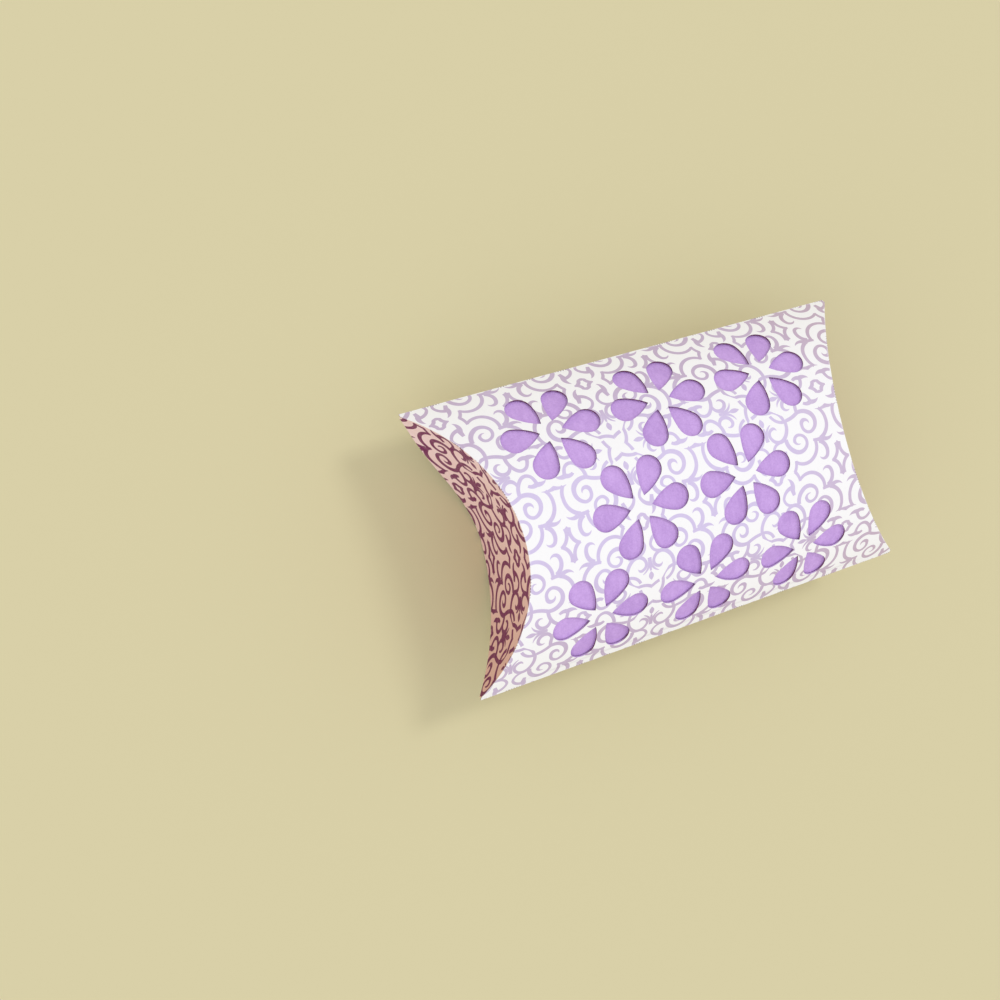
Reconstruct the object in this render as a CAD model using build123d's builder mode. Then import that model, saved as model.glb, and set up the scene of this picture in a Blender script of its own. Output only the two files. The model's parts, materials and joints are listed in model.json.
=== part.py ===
"""Pillow box: a bowed gift box of folded card with flower cut-outs and a coloured liner.

Millimetres. +Z is up, X runs along the box and Y across it. The box lies on the crown of its back
panel, and the origin is the middle of that crown.
"""

import os
from math import asin, cos, degrees, floor, pi, radians, sin, sqrt

from build123d import *

# Overall sizes, with the box folded up
box_length = 157.0  # along the side folds, from crease to crease
box_width = 90.0  # across the side folds
box_depth = 43.0  # from the crown of one panel to the crown of the other
tip_cut = 1.2  # by which the card is blunted at each tip, where the creases meet a side fold

# Card
card_thickness = 0.45
fold_clearance = 0.2  # left along a crease between a flap and its panel
tape_clearance = 0.05  # left on each side of a strip of tape
overrun = 1.0  # by which every cut passes the card

# Flowers in the front panel, measured in the flat card
flower_pitch = 37.2  # along the box
row_pitch = 30.7  # across the box
row_shift = -1.6  # the rows sit a little to one side
flower_margin = 2.5  # the least width of card between a flower and a fold
petals_per_flower = 6
petal_inner_reach = 3.7  # flower centre to the petal's point
petal_outer_reach = 16.4  # flower centre to the petal's round end
petal_width = 8.4
petal_shoulder = 105.0  # degrees round the end, where the side starts for the point

# End flaps
inner_flap_set_in = 1.05  # the inner flaps tuck behind the outer ones
inner_flap_drop = 2.0  # their free edge stays this far below the middle of the end
outer_flap_step = 0.4  # the outer flap's free edge stays this far inside the back panel's bow

# Liner behind the front panel
liner_end_gap = 1.5  # from the crown of each crease to the end of the liner
liner_side_gap = 1.6  # from each side fold to the edge of the liner, in the flat
liner_thickness = 0.3
liner_tape_thickness = 0.2
liner_tape_length = 26.0  # across the box
liner_tape_width = 10.0
liner_tape_place = 46.0  # from the middle of the box to the middle of a strip

# Glue tab along one side fold
tab_width = 12.0  # in the flat
tab_length = 148.0  # along the fold
tab_bevel = 10.0  # by which each end is shorter at the tab's free edge
seam_tape_thickness = 0.1
seam_tape_width = 8.0
seam_tape_length = 120.0

# The bow of the panels: an arc of the box's width that rises by half its depth
rise = box_depth / 2
bow_radius = ((box_width / 2) ** 2 + rise**2) / (2 * rise)
bow_angle = degrees(asin(box_width / 2 / bow_radius))
bow_centre_drop = bow_radius - rise  # from the mid-plane down to the centre of the front panel's arc
crease_stretch = sqrt(2)  # the crease lies in a plane at 45 degrees, so its arc is drawn out by this
blunt_length = box_length - 2 * tip_cut  # from cut tip to cut tip

FRONT, BACK = 1, -1
RIGHT, LEFT = 1, -1

os.makedirs("parts", exist_ok=True)


def bow_centre(panel):
    """Height of the centre of a panel's arc."""
    return rise - panel * bow_centre_drop


def bowed_section(panel, outer_radius, thickness):
    """Section of a bowed sheet across the box: the part of a ring on its panel's side of the mid-plane."""
    with BuildSketch() as section:
        with Locations((0, bow_centre(panel))):
            Circle(outer_radius)
            Circle(outer_radius - thickness, mode=Mode.SUBTRACT)
        with Locations((0, rise + panel * rise / 2)):
            Rectangle(2 * bow_radius, rise, mode=Mode.INTERSECT)
    return section.sketch


def strip_section(panel, outer_radius, thickness, first, last):
    """Section of a bowed strip, from its first to its last distance around the panel from the crown."""
    centre = (0, bow_centre(panel))
    start = panel * (90 - degrees(first / outer_radius))
    sweep = -panel * degrees((last - first) / outer_radius)
    with BuildSketch() as section:
        with BuildLine():
            outer = CenterArc(centre, outer_radius, start, sweep)
            inner = CenterArc(centre, outer_radius - thickness, start, sweep)
            Line(outer @ 0, inner @ 0)
            Line(outer @ 1, inner @ 1)
        make_face()
    return section.sketch


def crease_plane(end, panel, set_in):
    """The 45 degree plane that holds the crease of one panel at one end, with Y drawn across it."""
    return Plane(origin=(end * (box_length / 2 - set_in), 0, rise), x_dir=(0, 1, 0), z_dir=(panel, 0, end))


def flap_side(clearance):
    """Everything on the flap's side of a crease, drawn in the crease's plane, less a clearance."""
    with BuildSketch() as side:
        with BuildLine():
            crease = EllipticalCenterArc(
                (0, -crease_stretch * bow_centre_drop - clearance),
                bow_radius,
                crease_stretch * bow_radius,
                start_angle=90 - bow_angle,
                arc_size=2 * bow_angle,
            )
            skirt = -clearance - box_depth
            Polyline(crease @ 1, (-box_width / 2, skirt), (box_width / 2, skirt), crease @ 0)
        make_face()
    return side.sketch


def end_wall(set_in):
    """Plan of an end flap: a curved wall, hollow to the outside, with the same bow as the panels."""
    with BuildSketch() as wall:
        with Locations((box_length / 2 - set_in + bow_centre_drop, 0)):
            Circle(bow_radius + card_thickness)
            Circle(bow_radius, mode=Mode.SUBTRACT)
        with Locations((box_length / 2 - set_in, 0)):
            Rectangle(box_depth, box_width, align=(Align.MAX, Align.CENTER), mode=Mode.INTERSECT)
    return wall.sketch


def on_front(along, around):
    """Place on the front panel's outer face, and its outward direction, from a place in the flat card."""
    angle = around / bow_radius
    place = (along, bow_radius * sin(angle), bow_centre(FRONT) + bow_radius * cos(angle))
    return place, (0, sin(angle), cos(angle))


def centred(count, pitch):
    """Places of evenly spaced copies about zero."""
    return [(copy - (count - 1) / 2) * pitch for copy in range(count)]


def how_many(room, pitch):
    """How many flowers fit in a room, with their margin kept at both ends."""
    return 1 + floor((room - 2 * (petal_outer_reach + flower_margin)) / pitch)


def flower_places():
    """Place of each flower in the flat card. Every second row has one fewer, set between its neighbours."""
    rows = centred(how_many(2 * bow_radius * radians(bow_angle), row_pitch), row_pitch)
    rows = [row_shift + row for row in rows]
    crown_row = min(rows[::2], key=abs)
    crown_point, _ = on_front(0, crown_row)
    columns = how_many(box_length - 2 * (crown_point[2] - rise), flower_pitch)
    return [(along, row) for n, row in enumerate(rows) for along in centred(columns - n % 2, flower_pitch)]


def petal_planes():
    """One plane on the front panel for each petal, X drawn outwards from the flower's centre."""
    planes = []
    end_centre = petal_outer_reach - petal_width / 2
    for along, around in flower_places():
        for petal in range(petals_per_flower):
            turn = 2 * pi * petal / petals_per_flower
            place, outward = on_front(along + end_centre * cos(turn), around + end_centre * sin(turn))
            outwards = (cos(turn), sin(turn) * outward[2], -sin(turn) * outward[1])
            planes.append(Plane(origin=place, x_dir=outwards, z_dir=outward))
    return planes


def petal():
    """A teardrop: a round end, and two sides that swing in from its shoulders to a point."""
    end_radius = petal_width / 2
    point = (petal_inner_reach - petal_outer_reach + end_radius, 0)
    with BuildSketch() as outline:
        with BuildLine():
            end = CenterArc((0, 0), end_radius, -petal_shoulder, 2 * petal_shoulder)
            TangentArc(end @ 1, point, tangent=end % 1)
            TangentArc(end @ 0, point, tangent=-(end % 0))
        make_face()
    return outline.sketch


def bowed_panel(panel, set_in):
    """One panel of the folded box: a bowed sheet whose ends are cut to the curved creases."""
    with BuildPart() as sheet:
        with BuildSketch(Plane.YZ):
            add(bowed_section(panel, bow_radius, card_thickness))
        extrude(amount=box_length / 2 - set_in, both=True)
        for end in (RIGHT, LEFT):
            with BuildSketch(crease_plane(end, panel, set_in)):
                add(flap_side(0))
            extrude(amount=box_depth, both=True, mode=Mode.SUBTRACT)
        Box(blunt_length, 2 * box_width, 2 * box_depth, mode=Mode.INTERSECT)
    return sheet.part


# Front panel, with its flowers
with BuildPart() as front_panel:
    add(bowed_panel(FRONT, 0))
    with BuildSketch(*petal_planes()):
        add(petal())
    extrude(amount=card_thickness + overrun, both=True, mode=Mode.SUBTRACT)

# Back panel, a little shorter so that its flaps tuck in
with BuildPart() as back_panel:
    add(bowed_panel(BACK, inner_flap_set_in))

# Outer flap, folded from the front panel, down to the bow of the back panel
with BuildPart() as right_outer_flap:
    with BuildSketch():
        add(end_wall(0))
    extrude(amount=box_depth)
    with BuildSketch(crease_plane(RIGHT, FRONT, 0)):
        add(flap_side(fold_clearance))
    extrude(amount=box_depth, both=True, mode=Mode.INTERSECT)
    with BuildSketch(Plane.YZ):
        with Locations((0, bow_centre(BACK))):
            Circle(bow_radius - outer_flap_step)
    extrude(amount=box_length, mode=Mode.INTERSECT)
    Box(blunt_length, 2 * box_width, 2 * box_depth, mode=Mode.INTERSECT)

# Inner flap, folded from the back panel, behind the outer flap
with BuildPart() as right_inner_flap:
    with BuildSketch():
        add(end_wall(inner_flap_set_in))
    extrude(amount=rise - inner_flap_drop)
    with BuildSketch(crease_plane(RIGHT, BACK, inner_flap_set_in)):
        add(flap_side(fold_clearance))
    extrude(amount=box_depth, both=True, mode=Mode.INTERSECT)
    Box(blunt_length, 2 * box_width, 2 * box_depth, mode=Mode.INTERSECT)

# The same flaps at the other end
with BuildPart() as left_outer_flap:
    mirror(right_outer_flap.part, about=Plane.YZ)

with BuildPart() as left_inner_flap:
    mirror(right_inner_flap.part, about=Plane.YZ)

# Two strips of tape that hold the liner, beside the middle row of flowers
tape_radius = bow_radius - card_thickness - tape_clearance
tape_reach = liner_tape_length / 2
with BuildPart() as liner_tape:
    for end in (RIGHT, LEFT):
        with BuildSketch(Plane.YZ.offset(end * liner_tape_place)):
            add(strip_section(FRONT, tape_radius, liner_tape_thickness, -tape_reach, tape_reach))
        extrude(amount=liner_tape_width / 2, both=True)

# Liner, a plain rectangle of coloured card bowed behind the flowers
liner_radius = tape_radius - liner_tape_thickness - tape_clearance
liner_reach = liner_radius * radians(bow_angle) - liner_side_gap
with BuildPart() as liner:
    with BuildSketch(Plane.YZ):
        add(strip_section(FRONT, liner_radius, liner_thickness, -liner_reach, liner_reach))
    extrude(amount=box_length / 2 - rise - liner_end_gap, both=True)

# Glue tab: it folds from the front panel's side and lies along the inside of the back panel
tab_radius = tape_radius - seam_tape_thickness - tape_clearance
tab_fold = tab_radius * radians(bow_angle)
tab_free_edge = tab_fold - tab_width
with BuildPart() as glue_tab:
    with BuildSketch(Plane.YZ):
        add(strip_section(BACK, tab_radius, card_thickness, tab_free_edge, tab_fold + overrun))
    extrude(amount=tab_length / 2, both=True)
    with BuildSketch(Plane.YZ):
        with Locations((0, bow_centre(FRONT))):
            Circle(bow_radius - card_thickness)
    extrude(amount=tab_length, both=True, mode=Mode.INTERSECT)
    with BuildSketch():
        short_half = tab_length / 2 - tab_bevel
        free_edge_place = tab_radius * sin(tab_free_edge / tab_radius)
        corners = [
            (short_half, 0),
            (short_half, free_edge_place),
            (tab_length / 2, box_width / 2),
        ]
        Polygon(*corners, *[(-x, y) for x, y in reversed(corners)], align=None)
    extrude(amount=box_depth, mode=Mode.INTERSECT)

# Tape between the glue tab and the back panel, along the middle of the tab
seam_first = tab_fold - (tab_width + seam_tape_width) / 2
seam_last = seam_first + seam_tape_width
with BuildPart() as seam_tape:
    with BuildSketch(Plane.YZ):
        add(strip_section(BACK, tape_radius, seam_tape_thickness, seam_first, seam_last))
    extrude(amount=seam_tape_length / 2, both=True)

for name, piece in {
    "front_panel": front_panel,
    "back_panel": back_panel,
    "left_outer_flap": left_outer_flap,
    "right_outer_flap": right_outer_flap,
    "left_inner_flap": left_inner_flap,
    "right_inner_flap": right_inner_flap,
    "glue_tab": glue_tab,
    "seam_tape": seam_tape,
    "liner": liner,
    "liner_tape": liner_tape,
}.items():
    piece.part.label = name
    export_step(piece.part, f"parts/{name}.step")
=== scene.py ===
"""Looks of a pillow box of printed card: its scrollwork print, flaps, liner, glue parts and stage."""

import json
from math import acos, asin, atan2, cos, pi, radians, sin, sqrt, tau
from typing import NamedTuple

import bmesh
import bpy
from bpy.props import FloatProperty, FloatVectorProperty, IntProperty, PointerProperty
from mathutils import Matrix, Vector


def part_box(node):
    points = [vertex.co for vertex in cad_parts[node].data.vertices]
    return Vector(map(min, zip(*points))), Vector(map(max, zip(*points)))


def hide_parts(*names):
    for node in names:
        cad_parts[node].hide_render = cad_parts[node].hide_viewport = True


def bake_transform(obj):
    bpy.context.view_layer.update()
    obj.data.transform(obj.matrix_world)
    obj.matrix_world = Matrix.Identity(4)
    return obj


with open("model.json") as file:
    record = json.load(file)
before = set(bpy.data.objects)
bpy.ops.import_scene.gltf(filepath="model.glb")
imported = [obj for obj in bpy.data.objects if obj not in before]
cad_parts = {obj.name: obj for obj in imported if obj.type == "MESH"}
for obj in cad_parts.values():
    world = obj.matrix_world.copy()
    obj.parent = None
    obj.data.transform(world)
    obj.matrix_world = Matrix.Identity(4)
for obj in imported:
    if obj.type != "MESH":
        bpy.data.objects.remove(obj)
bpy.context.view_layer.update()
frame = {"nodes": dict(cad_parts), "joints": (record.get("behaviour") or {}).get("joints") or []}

bl_info = {
    "name": "Pillow Box",
    "version": (1, 0, 0),
    "blender": (4, 5, 0),
    "location": "3D View > Sidebar > Pillow Box",
    "description": "Dresses a folded pillow box with its scroll print, flaps, liner and stage",
    "category": "Object",
}

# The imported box, as it stands before anything is dressed
nodes = frame["nodes"]

# Sizes of the folded card, read from the frame
front_low, front_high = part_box("front_panel")
back_low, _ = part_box("back_panel")
crease_places = {joint["name"]: joint["pos_m"][0] for joint in frame["joints"]}
box_depth = front_high.z - back_low.z
box_width = front_high.y - front_low.y
rise = box_depth / 2
middle_height = back_low.z + rise
box_length = 2 * (crease_places["right_outer_crease"] + rise)
blunt_length = front_high.x - front_low.x
inner_set_in = crease_places["right_outer_crease"] - crease_places["right_inner_crease"]
bow_radius = ((box_width / 2) ** 2 + rise**2) / (2 * rise)
bow_drop = bow_radius - rise
bow_angle = asin(box_width / 2 / bow_radius)
fold_reach = bow_radius * bow_angle

mm = 0.001

# Which way the ends lie along the box, and which way the panels face
RIGHT, LEFT = 1, -1
FRONT, BACK = 1, -1

# Slots of a flap's two materials
PRINTED, PLAIN = 0, 1


class Paper(NamedTuple):
    """Surface of one kind of paper"""

    fibre_scale: float
    cloud_scale: float
    roughness: tuple  # where its ink or fibres are lightest, and where they are darkest
    relief: float
    fibre_share: float = 0.0  # how much of its fibres' colour shows
    cloud_share: float = 0.0  # how much of its clouds' colour shows
    gloss: float = 0.3


panel_card = Paper(2600.0, 38.0, roughness=(0.62, 0.5), relief=0.35, fibre_share=0.03)
flap_card = Paper(2600.0, 60.0, roughness=(0.66, 0.52), relief=0.35, fibre_share=0.4, cloud_share=0.15,
                  gloss=0.08)
plain_card = Paper(2400.0, 45.0, roughness=(0.72, 0.6), relief=0.4, fibre_share=0.55, cloud_share=0.35)
liner_card = Paper(1900.0, 55.0, roughness=(0.72, 0.6), relief=0.6, fibre_share=0.55, cloud_share=0.35)
tape_film = Paper(900.0, 120.0, roughness=(0.25, 0.45), relief=0.5, cloud_share=0.5)

# Relief of every paper, how much the fibres show on a panel's inner face, and how dull the floor is
relief_depth = 0.06 * mm
inside_fibre_share = 0.35
floor_roughness = 0.9

# Fibres: two noises, the second wider and drawn out, and the levels between which each mask rises
fine_noise = {"detail": 4.0, "roughness": 0.62}
strand_noise = {"detail": 3.0, "roughness": 0.7}
fine_share = 0.55
strand_scale = 0.31
strand_stretch = 0.3
shade_levels = (0.34, 0.66)
cloud_levels = (0.3, 0.7)

# Marks of the perforated folds: each fold's line and the worn card beside it, then the dashes of the line,
# the noise that leaves some of them out, the noise that breaks up the worn card, how deep the dashes are
# against the fibres, and how much of the marks' colours shows
side_mark = {"width": 0.5 * mm, "wear_reach": 0.9 * mm}
crease_mark = {"width": 0.3 * mm, "wear_reach": 0.9 * mm}
flap_mark = {"width": 0.35 * mm, "wear_reach": 1.2 * mm}
dash_levels = (0.42, 0.56)
dash_core = 0.4
gap_scale = 110.0
gap_levels = (0.48, 0.58)
wear_scale = 400.0
wear_levels = (0.35, 0.6)
mark_depth = 2.0
panel_dash_share = 0.85
flap_dash_share = 0.7
flap_wear_share = 0.35

# Print: how much wider or narrower than drawn the ink lies and how soft its edge is, in the drawing's
# millimetres, and how dense it is where the fibres are light and where a fold is worn
panel_spread = -0.03
flap_spread = 0.1
ink_softness = 0.1
panel_density = (0.93, 1.0)
flap_density = (0.86, 1.0)
worn_density = (1.0, 0.55)

# Where a panel's cut edges and its inner face begin below the outer face, as shares of the card's thickness,
# and how far a cut edge has to face the painted light's side to go from painted shade to painted light
cut_depths = (0.03, 0.1)
inner_depths = (0.93, 0.98)
painted_light_turns = (-0.6, 0.3)


def from_screen(red, green, blue):
    """A colour written as it looks on a screen, 0 to 255, as the linear values that Blender keeps."""
    def linear(level):
        share = level / 255
        return share / 12.92 if share <= 0.04045 else ((share + 0.055) / 1.055) ** 2.4
    return linear(red), linear(green), linear(blue)


def colour(name, description, *screen):
    """A colour that a user can change."""
    return FloatVectorProperty(
        name=name, description=description, subtype="COLOR", min=0, max=1, default=from_screen(*screen))


def portion(name, description, default):
    """A share that a user can change, from none to all."""
    return FloatProperty(
        name=name, description=description, subtype="FACTOR", min=0, max=1, default=default)


def length(name, description, default, **limits):
    """A length that a user can change, in metres."""
    return FloatProperty(
        name=name, description=description, unit="LENGTH", precision=5, default=default, **limits)


class CardSettings(bpy.types.PropertyGroup):
    """Card of the panels and its print"""

    paper: colour("Paper", "White face of the panels", 252, 251, 253)
    ink: colour("Ink", "Scrollwork near the crown of a panel", 214, 200, 237)
    # Painted shade: the next colours and shares darken and warm the ink from the crown towards the side
    # folds, where the bowed panel turns away from the light, and towards the right end
    side_shade_ink: colour("Far Ink", "Scrollwork towards the side folds, where it turns warmer", 200, 179, 208)
    end_shade_ink: colour("End Ink", "Scrollwork at the right end, where it's warmest", 200, 176, 194)
    side_shade_start: portion("Far Start", "Where the ink starts to change, from a crown to a side fold", 0.15)
    side_shade_end: portion("Far End", "Where it has changed", 0.9)
    shade_cloudiness: portion("Cloudiness", "How much soft clouds move that change", 0.5)
    end_shade_start: portion("Warm Start", "Where the ink starts to warm, from the middle along the box", 0.15)
    end_shade_share: portion("Warmth", "How much of the warmest ink shows at the right end", 0.8)
    inside: colour("Inside", "Unprinted inner face of the card", 240, 236, 234)
    inside_fibre: colour("Inside Fibre", "Fibres of that face", 222, 216, 212)
    # Painted shade and painted light: the cut edge round the petals is painted dark where it faces away from
    # the side below and bright where it faces it, whatever the lamps do
    shaded_edge: colour("Cut Edge", "Edge of the card round the cut petals, where it's dark", 104, 8, 74)
    lit_edge: colour("Bright Edge", "The same edge where it faces the light", 214, 186, 232)
    painted_light_side: FloatVectorProperty(name="Bright Side", description="Where the bright edges face",
                                     subtype="DIRECTION", default=(0.86, 0.51, 0.0))
    thickness: length("Thickness", "Thickness of the card", 0.45 * mm)
    cell: length("Cell", "Print: from one mirror line to the next, both ways", 24.3 * mm)
    print_along: length("Print Along", "Place of one tall diamond along the box", -43.65 * mm)
    print_around: length("Print Around", "Place of the same diamond around the box", -5.9 * mm)
    fold_mark: colour("Fold Mark", "Cuts of the perforated side folds", 146, 122, 146)
    dash_pitch: length("Dash Pitch", "From one cut of a perforated fold to the next", 0.9 * mm)


class FlapSettings(bpy.types.PropertyGroup):
    """End flaps"""

    # Painted shade: the flaps are the panels' white card and print as they look in warm shade, so their
    # paper, fibre, cloud and ink colours are tan and burgundy, deeper towards the near tips
    paper: colour("Paper", "Tan face of the flaps, at their far tips", 248, 222, 228)
    near_tip_shade_paper: colour("Deep Paper", "The same face at the near tips", 233, 185, 173)
    fibre: colour("Fibre", "Fibres of the tan face", 230, 194, 176)
    cloud: colour("Cloud", "Soft clouds of the tan face", 222, 180, 166)
    worn: colour("Worn", "Card that is worn along the crease", 246, 226, 206)
    ink: colour("Ink", "Scrollwork of the flaps", 116, 34, 88)
    inside_fibre: colour("Inside Fibre", "Fibres of the flaps' unprinted face", 224, 212, 204)
    outer_step: length("Outer Step", "From the outer flap's free edge to the back panel's bow", 0.4 * mm)
    inner_drop: length("Inner Drop", "From the inner flap's free edge to the middle of the end", 2.0 * mm)
    inner_tip: length("Inner Tip", "Width that is left of the inner flap at its tips", 0.1 * mm)
    outer_bend: length("Outer Bend", "How far from its crease an outer flap bends when it opens", 10.0 * mm)
    inner_bend: length("Inner Bend", "The same for an inner flap, which is shorter", 18.0 * mm)
    lift: length("Lift", "How far the left outer flap's free edge stands out, at most", 3.6 * mm)
    lift_power: FloatProperty(name="Lift Power", description="More brings that place nearer to the far tip",
                              default=1.8, min=1)
    columns: IntProperty(name="Columns", description="Faces across a flap", default=120, min=8)
    rows: IntProperty(name="Rows", description="Faces from the crease to the free edge", default=28, min=4)


class LinerSettings(bpy.types.PropertyGroup):
    """Coloured liner and the tapes"""

    purple: colour("Purple", "Liner card", 216, 178, 243)
    deep_purple: colour("Deep Purple", "Fibres and hollows of the liner card", 185, 145, 216)
    tape: colour("Tape", "Double-sided tape", 236, 232, 220)
    tape_cloud: colour("Tape Cloud", "Clouds of the tape", 206, 200, 182)


class StageSettings(bpy.types.PropertyGroup):
    """Floor, light and camera"""

    floor: colour("Floor", "Plain floor and background", 217, 208, 168)
    floor_reach: FloatProperty(name="Floor Reach", description="Radius of the floor, in lengths of the box",
                               default=40, min=1)
    floor_sides: IntProperty(name="Floor Sides", description="Straight sides of the round floor",
                             default=96, min=8)
    sky: FloatProperty(name="Sky", description="Even light from all round", default=0.78, min=0)
    key: FloatProperty(name="Key", description="Soft light from above, on the right", default=0.6, min=0)
    key_from: FloatVectorProperty(name="Key From", description="Where the soft light comes from",
                                  subtype="DIRECTION", default=(0.6, 0.25, 0.76))
    key_spread: FloatProperty(name="Key Spread", description="How broad the soft light is",
                              subtype="ANGLE", default=radians(14), min=0)
    fill: FloatProperty(name="Fill", description="Weak light on the near end and side", default=0.55, min=0)
    fill_from: FloatVectorProperty(name="Fill From", description="Where the weak light comes from",
                                   subtype="DIRECTION", default=(-0.75, -0.5, 0.43))
    fill_spread: FloatProperty(name="Fill Spread", description="How broad the weak light is",
                               subtype="ANGLE", default=radians(60), min=0)
    camera_place: FloatVectorProperty(
        name="Camera Place", description="Where the camera stands",
        subtype="TRANSLATION", unit="LENGTH", default=(-0.1657, 0.0310, 0.3571))
    camera_target: FloatVectorProperty(
        name="Camera Target", description="Point in the middle of the picture",
        subtype="TRANSLATION", unit="LENGTH", default=(-0.0539, 0.0116, 0.0215))
    camera_up: FloatVectorProperty(
        name="Camera Up", description="Direction of the picture's upper edge",
        subtype="DIRECTION", default=(0.27628, 0.96039, 0.03629))
    sensor: FloatProperty(name="Sensor", description="Width of the camera's sensor",
                          unit="CAMERA", default=36)
    lens: FloatProperty(name="Lens", description="Focal length of the camera", unit="CAMERA", default=41.5)
    nearest: length("Nearest", "What is nearer to the camera isn't seen", 10 * mm)


class Wiring:
    """A node tree that is wired up step by step, with short words for the steps used most."""

    def __init__(self, tree):
        self.tree = tree

    def add(self, kind, inputs=None, **settings):
        node = self.tree.nodes.new(kind)
        for name, value in settings.items():
            setattr(node, name, value)
        for name, value in (inputs or {}).items():
            self.feed(node.inputs[name], value)
        return node

    def feed(self, socket, value):
        """Puts a constant in a socket, or joins another socket to it."""
        if isinstance(value, bpy.types.NodeSocket):
            self.tree.links.new(value, socket)
        else:
            socket.default_value = value

    def math(self, operation, *values):
        return self.add("ShaderNodeMath", dict(enumerate(values)), operation=operation).outputs[0]

    def vector_step(self, operation, values):
        """A step whose values are whole vectors."""
        return self.add("ShaderNodeVectorMath", dict(enumerate(values)), operation=operation).outputs

    def vector(self, operation, *values):
        return self.vector_step(operation, values)["Vector"]

    def measure(self, operation, *values):
        """The length of a vector or the dot product of two."""
        return self.vector_step(operation, values)["Value"]

    def apart(self, vector):
        return self.add("ShaderNodeSeparateXYZ", {0: vector}).outputs

    def together(self, x, y, z=0.0):
        return self.add("ShaderNodeCombineXYZ", {0: x, 1: y, 2: z}).outputs[0]

    def ramp(self, value, low, high, to_low=0.0, to_high=1.0):
        """A smooth step from one level to another while a value goes from low to high."""
        inputs = {"Value": value, "From Min": low, "From Max": high, "To Min": to_low, "To Max": to_high}
        return self.add("ShaderNodeMapRange", inputs, interpolation_type="SMOOTHSTEP").outputs[0]

    def mix(self, factor, first, second):
        """A colour between two colours."""
        node = self.add("ShaderNodeMix", data_type="RGBA")
        self.feed(node.inputs[0], factor)
        for socket, value in ((node.inputs[6], first), (node.inputs[7], second)):
            self.feed(socket, value if isinstance(value, bpy.types.NodeSocket) else (*value, 1))
        return node.outputs[2]

    def noise(self, vector, scale, detail=2.0, roughness=0.5):
        inputs = {"Vector": vector, "Scale": scale, "Detail": detail, "Roughness": roughness}
        return self.add("ShaderNodeTexNoise", inputs).outputs[0]

    def group(self, tree, **inputs):
        """One use of a shared effect; its inputs are given in snake case."""
        node = self.add("ShaderNodeGroup", node_tree=tree)
        for name, value in inputs.items():
            self.feed(node.inputs[name.replace("_", " ").title()], value)
        return node.outputs


SOCKET_KINDS = {"vector": "NodeSocketVector", "value": "NodeSocketFloat"}


def effect(name, inputs, outputs):
    """A new shared effect: its tree, its wiring, its inputs and a function that feeds its outputs."""
    tree = bpy.data.node_groups.new(name, "ShaderNodeTree")
    for side, sockets in (("INPUT", inputs), ("OUTPUT", outputs)):
        for socket, kind in sockets.items():
            tree.interface.new_socket(name=socket, in_out=side, socket_type=SOCKET_KINDS[kind])
    wiring = Wiring(tree)
    given = wiring.add("NodeGroupInput").outputs
    shown = wiring.add("NodeGroupOutput").inputs

    def put_out(**values):
        for socket, value in values.items():
            wiring.feed(shown[socket.replace("_", " ").title()], value)
    return tree, wiring, given, put_out


def arc_stroke_effect():
    """One curved stroke of the print: an arc whose width changes evenly and may swell in the middle."""
    tree, w, given, put_out = effect(
        "arc_stroke",
        {"Place": "vector", "Centre": "vector", "Radius": "value", "Start": "value", "Sweep": "value",
         "Half Width": "value", "Growth": "value", "Swelling": "value", "Run": "value"},
        {"Cover": "value"},
    )
    from_centre = w.vector("SUBTRACT", given["Place"], given["Centre"])
    # Dot products, as a split vector whose third part isn't used takes room that the panels' shader lacks
    x, y = [w.measure("DOT_PRODUCT", from_centre, axis) for axis in ((1, 0, 0), (0, 1, 0))]
    turned = w.math("SUBTRACT", w.math("ARCTAN2", y, x), given["Start"])
    share = w.math("DIVIDE", w.math("FLOORED_MODULO", turned, tau), given["Sweep"])
    slope = w.math("MULTIPLY_ADD", w.math("SUBTRACT", 1.0, share), given["Swelling"], given["Growth"])
    half_width = w.math("MULTIPLY_ADD", share, slope, given["Half Width"])
    off_line = w.math("SUBTRACT", w.measure("LENGTH", from_centre), given["Radius"])
    inside = w.math("SUBTRACT", half_width, w.math("ABSOLUTE", off_line))
    before_end = w.math("MULTIPLY", w.math("SUBTRACT", 1.0, share), given["Run"])
    put_out(cover=w.math("MINIMUM", inside, before_end))
    return tree


# Strokes of one cell of the print, in millimetres from a tall diamond's centre, in a cell of the size below.
# The cell is mirrored on all four sides. A stroke is its first point, a point that it passes, its last
# point, its width at both ends, and how much it swells between them. It runs on at both ends by the lap.
drawn_cell = 24.3
stroke_lap = 0.1
# Depth inside the nearest stroke, where there is no stroke near
bare = -1.0
tall_diamond = [
    ((3.1, -0.2), (1.3, 1.3), (0.7, 5.1), 1.25, 1.2, 0),
    ((0, 2.9), (0.05, 4.1), (0, 5.6), 0.6, 0.3, 0.9),
]
small_diamonds = [
    ((21.2, -0.1), (22.75, 0.65), (23.35, 2.0), 0.8, 1.2, 0.3),
    ((23.0, 1.9), (23.6, 2.1), (24.4, 2.2), 0.6, 1.4, 0),
    ((3.1, 24.4), (1.6, 23.7), (0.95, 22.35), 0.8, 1.2, 0.3),
    ((1.3, 22.5), (0.7, 22.4), (-0.1, 22.4), 0.6, 1.2, 0),
]
diamond_hook = [
    ((6.3, 7.3), (4.2, 4.3), (4.5, 2.4), 1.6, 1.3, 0),
    ((4.5, 2.4), (5.5, 1.5), (7.4, 2.3), 1.3, 0.1, 0.3),
]
knuckle = [
    ((0.9, 8.3), (2.6, 7.3), (5.0, 8.0), 0.1, 1.6, 0.3),
    ((4.5, 7.95), (6.4, 7.75), (8.3, 8.1), 1.7, 0.9, 0),
]
long_arch = [
    ((7.75, 8.2), (8.0, 5.0), (9.7, 2.75), 1.2, 1.3, 0),
    ((9.7, 2.75), (12.7, 1.6), (16.4, 2.9), 1.3, 1.1, 0),
    ((16.4, 3.2), (16.7, 1.6), (17.7, -0.1), 1.0, 1.2, 0),
]
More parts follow.
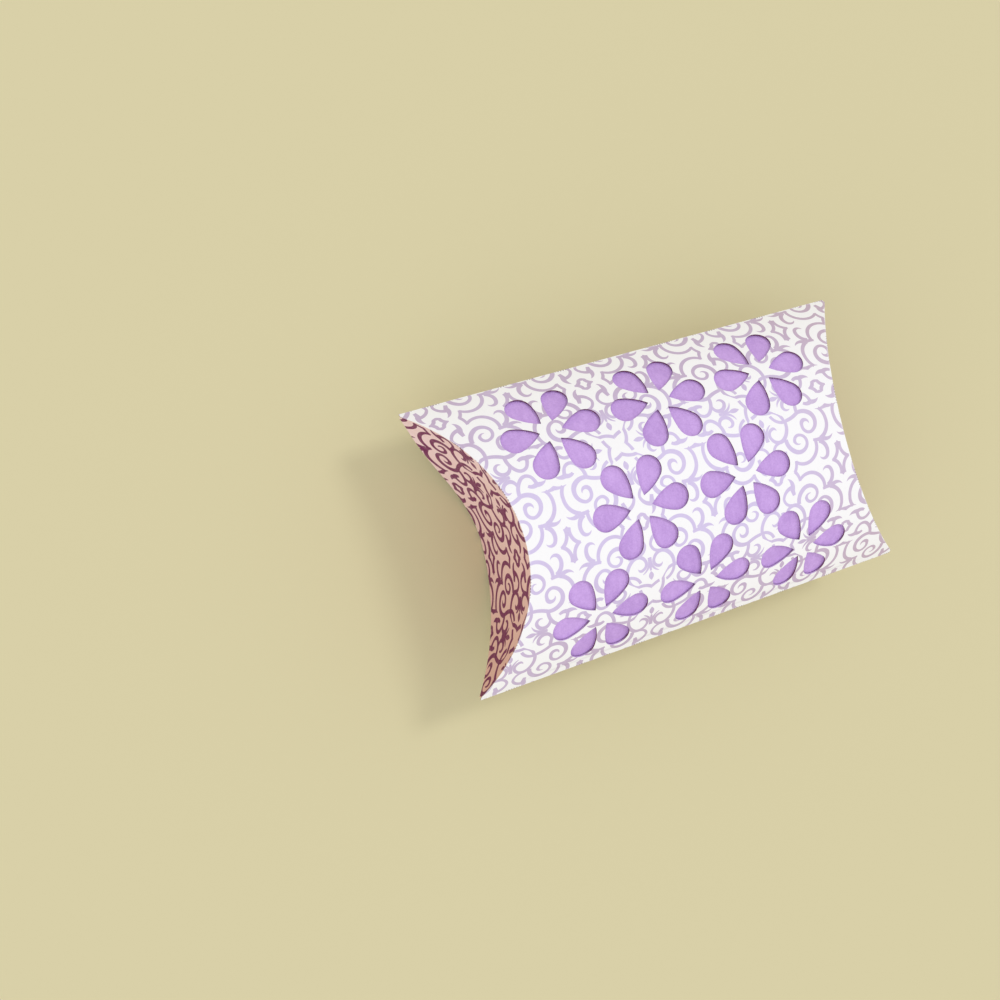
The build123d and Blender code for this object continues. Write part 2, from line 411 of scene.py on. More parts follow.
bracket = [
    ((5.5, 8.0), (2.25, 10.8), (1.65, 13.6), 1.4, 1.25, 0),
    ((1.65, 13.6), (1.9, 15.6), (2.8, 17.3), 1.25, 1.2, 0),
    ((4.0, 17.4), (2.0, 17.1), (-0.1, 17.5), 0.2, 1.5, 0),
]
great_scroll = [
    ((8.0, 13.6), (9.45, 15.05), (10.7, 13.6), 0.1, 1.2, 0.6),
    ((10.7, 13.6), (10.1, 11.5), (8.3, 10.85), 1.2, 1.1, 0),
    ((8.3, 10.85), (5.7, 13.4), (6.3, 16.4), 1.1, 1.7, 0),
    ((6.3, 16.4), (8.2, 17.7), (10.9, 17.85), 1.7, 1.3, 0),
    ((10.9, 17.85), (12.9, 16.95), (15.6, 16.4), 1.3, 1.2, 0),
]
fishtail_hook = [
    ((10.9, 18.1), (10.3, 20.9), (8.7, 22.9), 1.3, 1.2, 0),
    ((8.7, 22.9), (6.9, 23.35), (5.3, 22.3), 1.2, 1.1, 0),
    ((5.3, 22.3), (4.8, 21.2), (4.6, 20.0), 1.1, 1.3, 0),
    ((1.5, 20.6), (3.1, 19.85), (5.0, 20.2), 0.1, 1.7, 0.4),
    ((4.5, 20.15), (5.9, 19.7), (7.3, 20.2), 1.7, 1.0, 0),
]
side_scroll = [
    ((10.5, 20.6), (11.0, 22.3), (12.4, 23.1), 0.9, 1.4, 0),
    ((12.4, 23.1), (14.3, 22.4), (15.0, 20.9), 1.4, 1.2, 0),
    ((15.0, 20.9), (14.4, 19.8), (12.9, 19.7), 1.2, 0.2, 0.2),
]
star_scroll = [
    ((16.2, 16.6), (16.6, 13.3), (18.5, 10.9), 1.2, 1.4, 0),
    ((18.5, 10.9), (20.8, 10.5), (22.7, 12.1), 1.4, 1.1, 0),
    ((22.7, 12.1), (22.9, 13.8), (21.7, 15.0), 1.1, 1.1, 0),
    ((21.7, 15.0), (20.8, 15.1), (20.1, 14.3), 1.1, 0.1, 0.3),
]
round_scroll = [
    ((17.9, 10.6), (17.4, 8.0), (16.0, 6.4), 1.5, 1.6, 0),
    ((16.0, 6.4), (13.7, 5.6), (11.3, 6.8), 1.6, 1.2, 0),
    ((11.3, 6.8), (10.9, 9.3), (12.6, 10.8), 1.2, 1.0, 0),
    ((12.6, 10.8), (14.5, 10.4), (15.0, 9.2), 1.0, 1.2, 0),
    ((15.0, 9.2), (14.5, 8.4), (13.2, 8.1), 1.2, 0.2, 0),
]
leafed_hook = [
    ((20.8, 1.5), (19.5, 3.3), (19.7, 5.2), 0.1, 1.8, 0.4),
    ((19.9, 4.4), (19.6, 5.8), (19.3, 7.1), 1.9, 1.2, 0),
    ((19.7, 4.5), (22.2, 5.5), (23.3, 7.4), 1.5, 1.0, 0),
    ((23.3, 7.4), (22.5, 9.3), (20.6, 10.2), 1.0, 1.0, 0),
]
palmettes = [
    ((24.3, 16.2), (24.35, 17.7), (24.3, 19.1), 0, 0, 1.9),
    ((24.3, 11.6), (24.35, 13.5), (24.3, 15.9), 1.4, 0.6, 0.3),
    ((24.0, 12.9), (23.4, 14.9), (21.6, 16.5), 0.9, 0.3, 0.2),
    ((15.2, 24.3), (17.3, 24.35), (18.9, 24.3), 0, 0, 1.7),
    ((11.7, 24.3), (13.4, 24.35), (15.6, 24.3), 1.1, 0.5, 0.3),
    ((12.6, 24.0), (15.3, 23.3), (16.7, 21.4), 1.0, 0.2, 0.3),
]
motifs = [
    tall_diamond, small_diamonds, diamond_hook, knuckle, long_arch, bracket, great_scroll, fishtail_hook,
    side_scroll, star_scroll, round_scroll, leafed_hook, palmettes,
]
# The star at the cell's far corner isn't mirrored. It is one arm, measured from the star's centre, that is
# turned four times, and an arm lies within a quarter turn from the angle below.
star_arm = [
    ((-7.9, 8.3), (-7.2, 5.8), (-4.75, 3.95), 1.2, 1.1, 0),
    ((-4.75, 3.95), (-2.3, 3.85), (-0.1, 2.85), 1.1, 1.2, 0),
    ((-0.1, 2.85), (1.1, 3.55), (2.6, 4.1), 1.1, 1.2, 0),
    ((-0.2, 3.1), (-0.3, 2.7), (-0.1, 2.2), 0.9, 0.1, 0),
    ((-7.9, 8.1), (-5.6, 7.4), (-3.85, 5.2), 1.1, 1.1, 0),
]
star_arm_start = radians(52.5)


def circle_through(first, passed, last):
    """Centre, radius, start and sweep of the arc from first to last by way of a point that it passes."""
    (ax, ay), (bx, by), (cx, cy) = first, passed, last
    twice = 2 * (ax * (by - cy) + bx * (cy - ay) + cx * (ay - by))
    squares = (ax * ax + ay * ay, bx * bx + by * by, cx * cx + cy * cy)
    centre_x = (squares[0] * (by - cy) + squares[1] * (cy - ay) + squares[2] * (ay - by)) / twice
    centre_y = (squares[0] * (cx - bx) + squares[1] * (ax - cx) + squares[2] * (bx - ax)) / twice
    angles = [atan2(y - centre_y, x - centre_x) for x, y in (first, passed, last)]
    forward = (angles[1] - angles[0]) % tau < (angles[2] - angles[0]) % tau
    start = angles[0] if forward else angles[2]
    sweep = (angles[2] - angles[0]) % tau if forward else (angles[0] - angles[2]) % tau
    return (centre_x, centre_y, 0), sqrt((ax - centre_x) ** 2 + (ay - centre_y) ** 2), start, sweep, forward


def draw_strokes(w, arc_stroke, place, strokes, cover):
    """Adds strokes to what covers a place so far."""
    for first, passed, last, first_width, last_width, swelling in strokes:
        centre, radius, start, sweep, forward = circle_through(first, passed, last)
        if not forward:
            first_width, last_width = last_width, first_width
        start -= stroke_lap / radius
        sweep += 2 * stroke_lap / radius
        stroke = w.group(
            arc_stroke, place=place, centre=centre, radius=radius, start=start, sweep=sweep,
            half_width=first_width / 2, growth=(last_width - first_width) / 2, swelling=2 * swelling,
            run=radius * sweep)
        cover = w.math("MAXIMUM", cover, stroke["Cover"])
    return cover


def scroll_print_effect(arc_stroke):
    """The whole print: a place in the flat card is folded into one cell and tried on each stroke."""
    tree, w, given, put_out = effect(
        "scroll_print",
        {"Flat": "vector", "Cell": "value", "Along": "value", "Around": "value", "Spread": "value",
         "Softness": "value"},
        {"Ink": "value"},
    )
    along, around, _ = w.apart(given["Flat"])
    scale = w.math("DIVIDE", drawn_cell, given["Cell"])
    x = w.math("MULTIPLY", w.math("SUBTRACT", along, given["Along"]), scale)
    y = w.math("MULTIPLY", w.math("SUBTRACT", around, given["Around"]), scale)
    mirrored = w.together(w.math("PINGPONG", x, drawn_cell), w.math("PINGPONG", y, drawn_cell))
    cover = draw_strokes(w, arc_stroke, mirrored, sum(motifs, []), bare)
    from_star = []
    for value in (x, y):
        from_star.append(w.math("WRAP", w.math("SUBTRACT", value, drawn_cell), drawn_cell, -drawn_cell))
    angle = w.math("SUBTRACT", w.math("ARCTAN2", from_star[1], from_star[0]), star_arm_start)
    angle = w.math("ADD", w.math("FLOORED_MODULO", angle, tau / 4), star_arm_start)
    reach = w.measure("LENGTH", w.together(*from_star))
    turned = w.together(w.math("MULTIPLY", reach, w.math("COSINE", angle)),
                        w.math("MULTIPLY", reach, w.math("SINE", angle)))
    cover = draw_strokes(w, arc_stroke, turned, star_arm, cover)
    cover = w.math("ADD", cover, given["Spread"])
    put_out(ink=w.ramp(cover, w.math("MULTIPLY", given["Softness"], -1.0), given["Softness"]))
    return tree


def bowed_card_effect():
    """Places in the flat card, worked out from those on a bowed panel, and the depth below its face."""
    tree, w, given, put_out = effect(
        "bowed_card",
        {"Position": "vector", "Bow Radius": "value", "Centre Height": "value", "Facing": "value",
         "Crown Place": "value"},
        {"Flat": "vector", "Depth": "value", "From Crown": "value"},
    )
    x, y, z = w.apart(given["Position"])
    up = w.math("MULTIPLY", w.math("SUBTRACT", z, given["Centre Height"]), given["Facing"])
    from_crown = w.math("MULTIPLY", w.math("ARCTAN2", y, up), given["Bow Radius"])
    around = w.math("MULTIPLY_ADD", from_crown, given["Facing"], given["Crown Place"])
    reach = w.measure("LENGTH", w.together(y, up))
    put_out(
        flat=w.together(x, around),
        depth=w.math("SUBTRACT", given["Bow Radius"], reach),
        from_crown=w.math("ABSOLUTE", from_crown),
    )
    return tree


def fold_marks_effect():
    """Perforation dashes along a fold, and the wear of the card beside it."""
    tree, w, given, put_out = effect(
        "fold_marks",
        {"Distance": "value", "Along": "value", "Pitch": "value", "Width": "value", "Wear Reach": "value"},
        {"Dash": "value", "Wear": "value"},
    )
    beside = w.math("ABSOLUTE", given["Distance"])
    half_pitch = w.math("MULTIPLY", given["Pitch"], 0.5)
    in_pitch = w.math("DIVIDE", w.math("PINGPONG", given["Along"], half_pitch), half_pitch)
    in_dash = w.ramp(in_pitch, *dash_levels)
    present = w.noise(w.together(w.math("MULTIPLY", given["Along"], gap_scale), 0.0), 1.0)
    in_dash = w.math("MULTIPLY", in_dash, w.ramp(present, *gap_levels))
    on_line = w.ramp(beside, given["Width"], w.math("MULTIPLY", given["Width"], dash_core))
    patches = w.noise(w.together(w.math("MULTIPLY", given["Along"], wear_scale), beside), 1.0, detail=3.0)
    near = w.ramp(beside, given["Wear Reach"], 0.0)
    put_out(
        dash=w.math("MULTIPLY", in_dash, on_line),
        wear=w.math("MULTIPLY", near, w.ramp(patches, *wear_levels)),
    )
    return tree


def paper_fibre_effect():
    """Fibres and soft clouds of a sheet of card, as a shade and a height."""
    tree, w, given, put_out = effect(
        "paper_fibre",
        {"Position": "vector", "Fibre Scale": "value", "Cloud Scale": "value"},
        {"Shade": "value", "Height": "value", "Cloud": "value"},
    )
    fine = w.noise(given["Position"], given["Fibre Scale"], **fine_noise)
    wider = w.math("MULTIPLY", given["Fibre Scale"], strand_scale)
    stretched = w.vector("MULTIPLY", given["Position"], (1.0, strand_stretch, 1.0))
    strands = w.noise(stretched, wider, **strand_noise)
    cloud = w.noise(given["Position"], given["Cloud Scale"])
    both = w.math("ADD", w.math("MULTIPLY", fine, fine_share), w.math("MULTIPLY", strands, 1 - fine_share))
    put_out(
        shade=w.ramp(both, *shade_levels),
        height=w.math("ADD", fine, strands),
        cloud=w.ramp(cloud, *cloud_levels),
    )
    return tree


# The shared effects by name, once they are built
effects = {}


def build_effects():
    """Builds each shared effect once."""
    if not effects:
        effects["scroll_print"] = scroll_print_effect(arc_stroke_effect())
        effects["bowed_card"] = bowed_card_effect()
        effects["fold_marks"] = fold_marks_effect()
        effects["paper_fibre"] = paper_fibre_effect()


def new_material(name):
    """A material with an empty tree, its wiring and its shader."""
    material = bpy.data.materials.new(name)
    material.use_nodes = True
    material.node_tree.nodes.clear()
    w = Wiring(material.node_tree)
    shader = w.add("ShaderNodeBsdfPrincipled")
    output = w.add("ShaderNodeOutputMaterial")
    w.feed(output.inputs["Surface"], shader.outputs[0])
    return material, w, shader


def fibres(w, position, paper):
    """The fibres of a paper at a place."""
    return w.group(effects["paper_fibre"], position=position,
                   fibre_scale=paper.fibre_scale, cloud_scale=paper.cloud_scale)


def finish_paper(w, shader, paper, base, height, darkness):
    """Joins a paper's colour, gloss and relief to its shader. Its roughness follows the darkness."""
    w.feed(shader.inputs["Base Color"], base)
    w.feed(shader.inputs["Roughness"], w.ramp(darkness, 0.0, 1.0, *paper.roughness))
    shader.inputs["Specular IOR Level"].default_value = paper.gloss
    bump = w.add("ShaderNodeBump", {"Height": height, "Strength": paper.relief, "Distance": relief_depth})
    w.feed(shader.inputs["Normal"], bump.outputs[0])


def panel_marks(w, card, panel, set_in, position, from_crown):
    """Where a panel lies along the box, and the dashes and wear of its side folds and creases."""
    x, _, z = w.apart(position)
    side = w.group(effects["fold_marks"], distance=w.math("SUBTRACT", from_crown, fold_reach),
                   along=x, pitch=card.dash_pitch, **side_mark)
    above = w.math("MULTIPLY", w.math("SUBTRACT", z, middle_height), panel)
    to_crease = w.math("SUBTRACT", w.math("SUBTRACT", box_length / 2 - set_in, w.math("ABSOLUTE", x)), above)
    crease = w.group(effects["fold_marks"], distance=to_crease, along=from_crown,
                     pitch=card.dash_pitch, **crease_mark)
    dash = w.math("MAXIMUM", side["Dash"], crease["Dash"])
    wear = w.math("MAXIMUM", side["Wear"], crease["Wear"])
    return x, dash, wear


def panel_ink_shading(w, card, x, from_crown, cloud):
    """The ink's colour on a panel, with painted shade that darkens and warms it towards the side folds and
    the right end.
    """
    # Painted shade: darker and warmer ink from the crown to the side folds, broken up by clouds, and towards
    # the right end
    far = w.ramp(from_crown, card.side_shade_start * fold_reach, card.side_shade_end * fold_reach)
    far = w.math("MULTIPLY_ADD", w.math("SUBTRACT", cloud, 0.5), card.shade_cloudiness, far)
    ink_with_shade = w.mix(far, card.ink, card.side_shade_ink)
    end_shade_mask = w.ramp(x, card.end_shade_start * blunt_length, 0.5 * blunt_length)
    return w.mix(w.math("MULTIPLY", end_shade_mask, card.end_shade_share), ink_with_shade, card.end_shade_ink)


def panel_layers(w, card, depth, normal, shade, outside):
    """A panel's colour at each depth: the printed face, the cut edges with painted shade or painted light by
    the way they face, and the plain inner face.
    """
    inside = w.mix(w.math("MULTIPLY", shade, inside_fibre_share), card.inside, card.inside_fibre)
    is_inner = w.ramp(depth, *[share * card.thickness for share in inner_depths])
    is_cut = w.ramp(depth, *[share * card.thickness for share in cut_depths])
    # Painted shade and painted light: the cut edges' colour follows which way they face
    facing_painted_light = w.measure("DOT_PRODUCT", normal, card.painted_light_side)
    shaded_edge = w.mix(w.ramp(facing_painted_light, *painted_light_turns), card.shaded_edge, card.lit_edge)
    return w.mix(is_inner, w.mix(is_cut, outside, shaded_edge), inside)


def printed_panel_material(name, panel, set_in):
    """Card of one bowed panel: printed outside, plain inside, with marked folds and painted shade on its ink
    and cut edges.
    """
    card = bpy.context.scene.pillow_box_card
    material, w, shader = new_material(name)
    coordinates = w.add("ShaderNodeTexCoord").outputs
    position = coordinates["Object"]
    crown_place = 0.0 if panel == FRONT else 2 * fold_reach
    bowed = w.group(effects["bowed_card"], position=position, bow_radius=bow_radius, facing=panel,
                    centre_height=middle_height - panel * bow_drop, crown_place=crown_place)
    ink = w.group(effects["scroll_print"], flat=bowed["Flat"], cell=card.cell, along=card.print_along,
                  around=card.print_around, spread=panel_spread, softness=ink_softness)["Ink"]
    fibre = fibres(w, position, panel_card)
    x, dash, wear = panel_marks(w, card, panel, set_in, position, bowed["From Crown"])
    ink_with_shade = panel_ink_shading(w, card, x, bowed["From Crown"], fibre["Cloud"])
    density = w.math("MULTIPLY", ink, w.ramp(fibre["Shade"], 0.0, 1.0, *panel_density))
    density = w.math("MULTIPLY", density, w.ramp(wear, 0.0, 1.0, *worn_density))
    shaded = w.mix(w.math("MULTIPLY", fibre["Shade"], panel_card.fibre_share), card.paper, card.inside)
    outside = w.mix(density, shaded, ink_with_shade)
    outside = w.mix(w.math("MULTIPLY", dash, panel_dash_share), outside, card.fold_mark)
    base = panel_layers(w, card, bowed["Depth"], coordinates["Normal"], fibre["Shade"], outside)
    height = w.math("SUBTRACT", fibre["Height"], w.math("MULTIPLY", dash, mark_depth))
    finish_paper(w, shader, panel_card, base, height, darkness=ink)
    return material


def printed_flap_material(name):
    """Outer face of the end flaps: the same print, with painted warm shade that turns the card tan and the
    ink burgundy, placed by a UV map.
    """
    card = bpy.context.scene.pillow_box_card
    flap = bpy.context.scene.pillow_box_flap
    material, w, shader = new_material(name)
    flat = w.add("ShaderNodeUVMap", uv_map="flat_card").outputs[0]
    from_crease = w.add("ShaderNodeUVMap", uv_map="from_crease").outputs[0]
    ink = w.group(effects["scroll_print"], flat=flat, cell=card.cell, along=card.print_along,
                  around=card.print_around, spread=flap_spread, softness=ink_softness)["Ink"]
    fibre = fibres(w, flat, flap_card)
    below, along_crease, _ = w.apart(from_crease)
    crease = w.group(effects["fold_marks"], distance=below, along=along_crease,
                     pitch=card.dash_pitch, **flap_mark)
    _, around, _ = w.apart(flat)
    # Painted shade: the paper deepens from the far tips to the near tips
    paper = w.mix(w.ramp(around, fold_reach, -fold_reach), flap.paper, flap.near_tip_shade_paper)
    paper = w.mix(w.math("MULTIPLY", fibre["Shade"], flap_card.fibre_share), paper, flap.fibre)
    paper = w.mix(w.math("MULTIPLY", fibre["Cloud"], flap_card.cloud_share), paper, flap.cloud)
    density = w.math("MULTIPLY", ink, w.ramp(fibre["Shade"], 0.0, 1.0, *flap_density))
    base = w.mix(density, paper, flap.ink)
    base = w.mix(w.math("MULTIPLY", crease["Wear"], flap_wear_share), base, flap.worn)
    base = w.mix(w.math("MULTIPLY", crease["Dash"], flap_dash_share), base, flap.ink)
    height = w.math("SUBTRACT", fibre["Height"], w.math("MULTIPLY", crease["Dash"], mark_depth))
    finish_paper(w, shader, flap_card, base, height, darkness=ink)
    return material


def plain_card_material(name, light, dark, paper=plain_card):
    """Unprinted card with its fibres and soft clouds."""
    material, w, shader = new_material(name)
    position = w.add("ShaderNodeTexCoord").outputs["Object"]
    fibre = fibres(w, position, paper)
    darkness = w.math("ADD", w.math("MULTIPLY", fibre["Shade"], paper.fibre_share),
                      w.math("MULTIPLY", fibre["Cloud"], paper.cloud_share))
    base = w.mix(darkness, light, dark)
    finish_paper(w, shader, paper, base, fibre["Height"], darkness=fibre["Shade"])
    return material


def flap_materials(kind):
    """Printed face and plain face of the two flaps of one kind."""
    card = bpy.context.scene.pillow_box_card
    flap = bpy.context.scene.pillow_box_flap
    printed = printed_flap_material(f"printed_{kind}_flap")
    return printed, plain_card_material(f"{kind}_flap_inside", card.inside, flap.inside_fibre)


def tape_material():
    """Thin double-sided tape: smoother than the papers, with soft clouds."""
    material, w, shader = new_material("adhesive_tape")
    position = w.add("ShaderNodeTexCoord").outputs["Object"]
    fibre = fibres(w, position, tape_film)
    liner = bpy.context.scene.pillow_box_liner
    base = w.mix(w.math("MULTIPLY", fibre["Cloud"], tape_film.cloud_share), liner.tape, liner.tape_cloud)
    finish_paper(w, shader, tape_film, base, fibre["Cloud"], darkness=fibre["Shade"])
    return material


def dress(node, material):
    """Gives a CAD node its finished material."""
    for slot in nodes[node].material_slots:
        slot.material = material


def new_piece(name, mesh):
    """An object in the scene, made from a mesh that is ready."""
    data = bpy.data.meshes.new(name)
    mesh.to_mesh(data)
    mesh.free()
    piece = bpy.data.objects.new(name, data)
    bpy.context.scene.collection.objects.link(piece)
    return piece


def wall_columns(lowest, trim, columns):
    """Across an end flap: the angle round its bow and, there, the places of its crease and free edge."""
    last = acos((bow_drop + lowest) / bow_radius)
    for column in range(columns + 1):
        angle = last * (2 * column / columns - 1)
        yield angle, bow_radius * cos(angle) - bow_drop, trim(bow_radius * sin(angle))


def join_layers(mesh, outer, inner):
    """The faces of a flap: both layers, and the rim all round between them."""
    last_column, last_row = len(outer) - 1, len(outer[0]) - 1

    def quad(corners, material):
        """A face in one of the flap's two materials."""
        face = mesh.faces.new(corners)
        face.material_index = material
        face.smooth = True

    def cell(points, left, row):
        """The corners of a face of one layer."""
        return [points[left][row], points[left + 1][row], points[left + 1][row + 1], points[left][row + 1]]

    for left in range(last_column):
        for row in range(last_row):
            quad(cell(outer, left, row), PRINTED)
            quad(cell(inner, left, row)[::-1], PLAIN)
    for left in range(last_column):
        for row in (0, last_row):
            quad([outer[left][row], outer[left + 1][row], inner[left + 1][row], inner[left][row]], PLAIN)
    for left in (0, last_column):
        for row in range(last_row):
            quad([outer[left][row], outer[left][row + 1], inner[left][row + 1], inner[left][row]], PLAIN)
    bmesh.ops.recalc_face_normals(mesh, faces=mesh.faces)
    for edge in mesh.edges:
        edge.smooth = len({face.material_index for face in edge.link_faces}) == 1


def write_maps(mesh, places):
    """Two UV maps: each point's place in the flat card, and its place from the crease."""
    flat_layer = mesh.loops.layers.uv.new("flat_card")
    crease_layer = mesh.loops.layers.uv.new("from_crease")
    for face in mesh.faces:
        for loop in face.loops:
            flat, from_crease = places[loop.vert]
            loop[flat_layer].uv = flat
            loop[crease_layer].uv = from_crease


def flap_mesh(name, end, panel, set_in, lowest, trim, lift):
    """A curved end flap of real thickness, from its crease to its free edge, with its flat card places.

    lowest is the height over the middle of the end at which the crease stops, at each tip. From a place
    across the flap, trim gives how far past that middle the free edge lies, and lift how far it stands out.
    """
    flap = bpy.context.scene.pillow_box_flap
    thickness = bpy.context.scene.pillow_box_card.thickness
    end_middle = box_length / 2 - set_in
    wall_centre = end_middle + bow_drop
    columns = list(wall_columns(lowest, trim, flap.columns))
    mesh = bmesh.new()
    places = {}

    def vertex(angle, crease, free, share, depth):
        """A point of a column, at a share of the way from the crease to the free edge."""
        y = bow_radius * sin(angle)
        reach = sqrt((bow_radius + depth * thickness) ** 2 - y**2)
        x = wall_centre - reach
        top = crease - (end_middle - crease - x)
        height = top + (-free - top) * share
        out = lift(y) * share**2
        made = mesh.verts.new((end * (x + out), y, middle_height + panel * height))
        along = end_middle - crease + (crease - height)
        around = bow_radius * angle if panel == FRONT else 2 * fold_reach - bow_radius * angle
        places[made] = ((end * along, around), (crease - height, bow_radius * abs(angle)))
        return made

    def layer(depth):
        """One face of the flap, column by column, at a depth in thicknesses of the card."""
        shares = [row / flap.rows for row in range(flap.rows + 1)]
        return [[vertex(*column, share, depth) for share in shares] for column in columns]

    join_layers(mesh, layer(0), layer(1))
    write_maps(mesh, places)
    return new_piece(name, mesh)


def flat_wall(y):
    """No lift."""
    return 0.0


def bend_layers_alike(piece):
    """Applies a flap's own transform to its mesh while its inner layer lies on its outer one, then puts the
    inner layer back.

    The layers have the same number of points in the same order.
    """
    points = piece.data.vertices
    count = len(points) // 2
    inner_places = [points[count + index].co.copy() for index in range(count)]
    for index in range(count):
        points[count + index].co = points[index].co
    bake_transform(piece)
    for index, place in enumerate(inner_places):
        points[count + index].co = place
    piece.data.update()


def add_flap(kind, end, panel, set_in, lowest, trim, materials, lift=flat_wall):
    """Makes one flap, applies its own transform to its mesh, and lets it stand for its CAD node."""
    side = "right" if end == RIGHT else "left"
    piece = flap_mesh(f"{side}_{kind}_flap_card", end, panel, set_in, lowest, trim, lift)
    for material in materials:
        piece.data.materials.append(material)
    bend_layers_alike(piece)
    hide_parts(f"{side}_{kind}_flap")
    return piece


class PILLOWBOX_OT_panels(bpy.types.Operator):
    """Print the front and the back panel"""

    bl_idname = "pillow_box.panels"
    bl_label = "Print the Panels"

    def execute(self, context):
        build_effects()
        dress("front_panel", printed_panel_material("printed_front", FRONT, 0.0))
        dress("back_panel", printed_panel_material("printed_back", BACK, inner_set_in))
        return {"FINISHED"}


class PILLOWBOX_OT_outer_flaps(bpy.types.Operator):
    """Make the outer flap of each end"""

    bl_idname = "pillow_box.outer_flaps"
    bl_label = "Make the Outer Flaps"

    def execute(self, context):
        build_effects()
        flap = context.scene.pillow_box_flap
        lowest = (box_length - blunt_length) / 2
        tip = sqrt(bow_radius**2 - (bow_drop + lowest) ** 2)

        def trim(y):
            return sqrt((bow_radius - flap.outer_step) ** 2 - y**2) - bow_drop

        def lift(y):
            return flap.lift * sin(pi * min(max(y, 0) / tip, 1) ** flap.lift_power)

        materials = flap_materials("outer")
        add_flap("outer", LEFT, FRONT, 0.0, lowest, trim, materials, lift)
        add_flap("outer", RIGHT, FRONT, 0.0, lowest, trim, materials)
        return {"FINISHED"}


class PILLOWBOX_OT_inner_flaps(bpy.types.Operator):
    """Make the inner flap of each end"""

    bl_idname = "pillow_box.inner_flaps"
    bl_label = "Make the Inner Flaps"

    def execute(self, context):
        build_effects()
        flap = context.scene.pillow_box_flap
        lowest = flap.inner_drop + flap.inner_tip

        def trim(y):
            return -flap.inner_drop

        materials = flap_materials("inner")
        for end in (LEFT, RIGHT):
            add_flap("inner", end, BACK, inner_set_in, lowest, trim, materials)
        return {"FINISHED"}


class PILLOWBOX_OT_liner(bpy.types.Operator):
    """Colour the liner behind the flowers"""

    bl_idname = "pillow_box.liner"
    bl_label = "Colour the Liner"

    def execute(self, context):
        build_effects()
        liner = context.scene.pillow_box_liner
        dress("liner", plain_card_material("purple_card", liner.purple, liner.deep_purple, liner_card))
        return {"FINISHED"}


class PILLOWBOX_OT_glue_parts(bpy.types.Operator):
    """Finish the glue tab and the strips of tape"""

    bl_idname = "pillow_box.glue_parts"
    bl_label = "Finish the Glue Parts"

    def execute(self, context):
        build_effects()
        card = context.scene.pillow_box_card
        dress("glue_tab", plain_card_material("tab_card", card.inside, card.inside_fibre))
        tape = tape_material()
        for node in ("seam_tape", "liner_tape"):
            dress(node, tape)
        return {"FINISHED"}


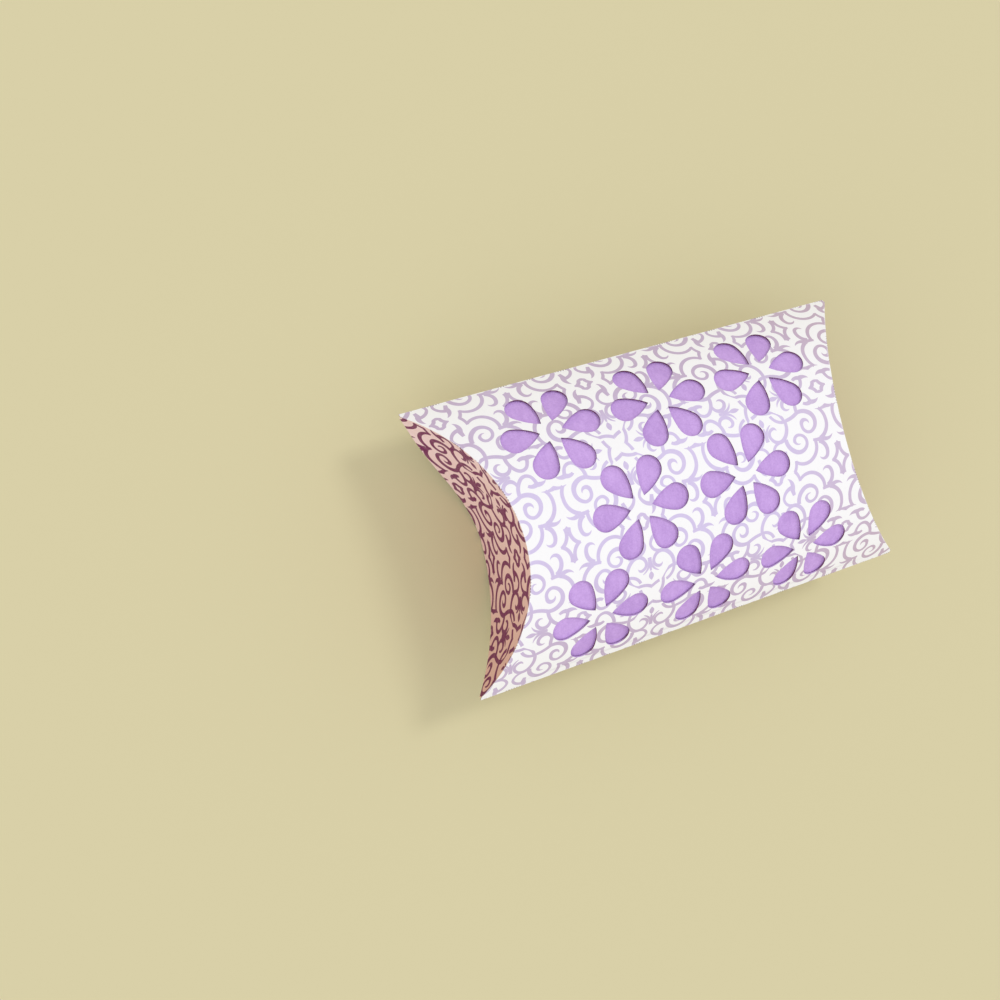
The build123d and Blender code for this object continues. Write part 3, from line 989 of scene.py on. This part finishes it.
class PILLOWBOX_OT_stage(bpy.types.Operator):
    """Set up the floor, the light and the camera"""

    bl_idname = "pillow_box.stage"
    bl_label = "Set Up the Stage"

    def execute(self, context):
        stage = context.scene.pillow_box_stage
        context.scene.view_settings.view_transform = "Standard"
        self.add_floor(stage)
        self.add_sky(context, stage)
        self.add_sun("key_light", stage.key, stage.key_from, stage.key_spread)
        self.add_sun("fill_light", stage.fill, stage.fill_from, stage.fill_spread)
        self.add_camera(context, stage)
        return {"FINISHED"}

    def add_floor(self, stage):
        """A wide round floor."""
        mesh = bmesh.new()
        reach = stage.floor_reach * box_length
        bmesh.ops.create_circle(mesh, cap_ends=True, segments=stage.floor_sides, radius=reach)
        floor = new_piece("floor", mesh)
        floor.location.z = back_low.z
        material, w, shader = new_material("floor_paint")
        shader.inputs["Base Color"].default_value = (*stage.floor, 1)
        shader.inputs["Roughness"].default_value = floor_roughness
        shader.inputs["Specular IOR Level"].default_value = 0.0
        floor.data.materials.append(material)

    def add_sky(self, context, stage):
        """White light from all round; the camera sees the floor's colour there."""
        world = bpy.data.worlds.new("studio")
        context.scene.world = world
        world.use_nodes = True
        world.node_tree.nodes.clear()
        w = Wiring(world.node_tree)
        path = w.add("ShaderNodeLightPath").outputs
        seen = w.math("MAXIMUM", path["Is Camera Ray"], path["Is Glossy Ray"])
        seen = w.math("MAXIMUM", seen, path["Is Transmission Ray"])
        light = w.add("ShaderNodeBackground", {"Color": (1, 1, 1, 1), "Strength": stage.sky})
        backdrop = w.add("ShaderNodeBackground", {"Color": (*stage.floor, 1), "Strength": 1.0})
        mixed = w.add("ShaderNodeMixShader", {0: seen, 1: light.outputs[0], 2: backdrop.outputs[0]})
        output = w.add("ShaderNodeOutputWorld")
        w.feed(output.inputs["Surface"], mixed.outputs[0])

    def add_sun(self, name, strength, comes_from, spread):
        """A broad, even lamp."""
        lamp = bpy.data.lights.new(name, "SUN")
        lamp.energy = strength
        lamp.angle = spread
        holder = bpy.data.objects.new(name, lamp)
        holder.rotation_mode = "QUATERNION"
        holder.rotation_quaternion = Vector(comes_from).to_track_quat("Z", "Y")
        bpy.context.scene.collection.objects.link(holder)

    def add_camera(self, context, stage):
        """The photograph's view."""
        camera = bpy.data.objects.new("camera", bpy.data.cameras.new("camera"))
        camera.data.sensor_width = stage.sensor
        camera.data.lens = stage.lens
        camera.data.clip_start = stage.nearest
        place, target = Vector(stage.camera_place), Vector(stage.camera_target)
        back = (place - target).normalized()
        right = Vector(stage.camera_up).cross(back).normalized()
        axes = Matrix((right, back.cross(right), back)).transposed()
        camera.matrix_world = Matrix.Translation(place) @ axes.to_4x4()
        context.scene.collection.objects.link(camera)
        context.scene.camera = camera


class PILLOWBOX_PT_sidebar(bpy.types.Panel):
    """Steps and sizes of the pillow box"""

    bl_idname = "PILLOWBOX_PT_sidebar"
    bl_label = "Pillow Box"
    bl_space_type = "VIEW_3D"
    bl_region_type = "UI"
    bl_category = "Pillow Box"

    def draw(self, context):
        for step in steps:
            self.layout.operator(step.bl_idname)
        for name, group in settings.items():
            box = self.layout.box()
            for value in group.__annotations__:
                box.prop(getattr(context.scene, name), value)


steps = (
    PILLOWBOX_OT_panels,
    PILLOWBOX_OT_outer_flaps,
    PILLOWBOX_OT_inner_flaps,
    PILLOWBOX_OT_liner,
    PILLOWBOX_OT_glue_parts,
    PILLOWBOX_OT_stage,
)
settings = {
    "pillow_box_card": CardSettings,
    "pillow_box_flap": FlapSettings,
    "pillow_box_liner": LinerSettings,
    "pillow_box_stage": StageSettings,
}


def register():
    for group in settings.values():
        bpy.utils.register_class(group)
    for name, group in settings.items():
        setattr(bpy.types.Scene, name, PointerProperty(type=group))
    for step in steps:
        bpy.utils.register_class(step)
    bpy.utils.register_class(PILLOWBOX_PT_sidebar)


def unregister():
    bpy.utils.unregister_class(PILLOWBOX_PT_sidebar)
    for step in reversed(steps):
        bpy.utils.unregister_class(step)
    for name in settings:
        delattr(bpy.types.Scene, name)
    for group in reversed(settings.values()):
        bpy.utils.unregister_class(group)


def main():
    """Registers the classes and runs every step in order."""
    register()
    for step in steps:
        family, name = step.bl_idname.split(".")
        getattr(getattr(bpy.ops, family), name)()


if __name__ == "__main__":
    main()
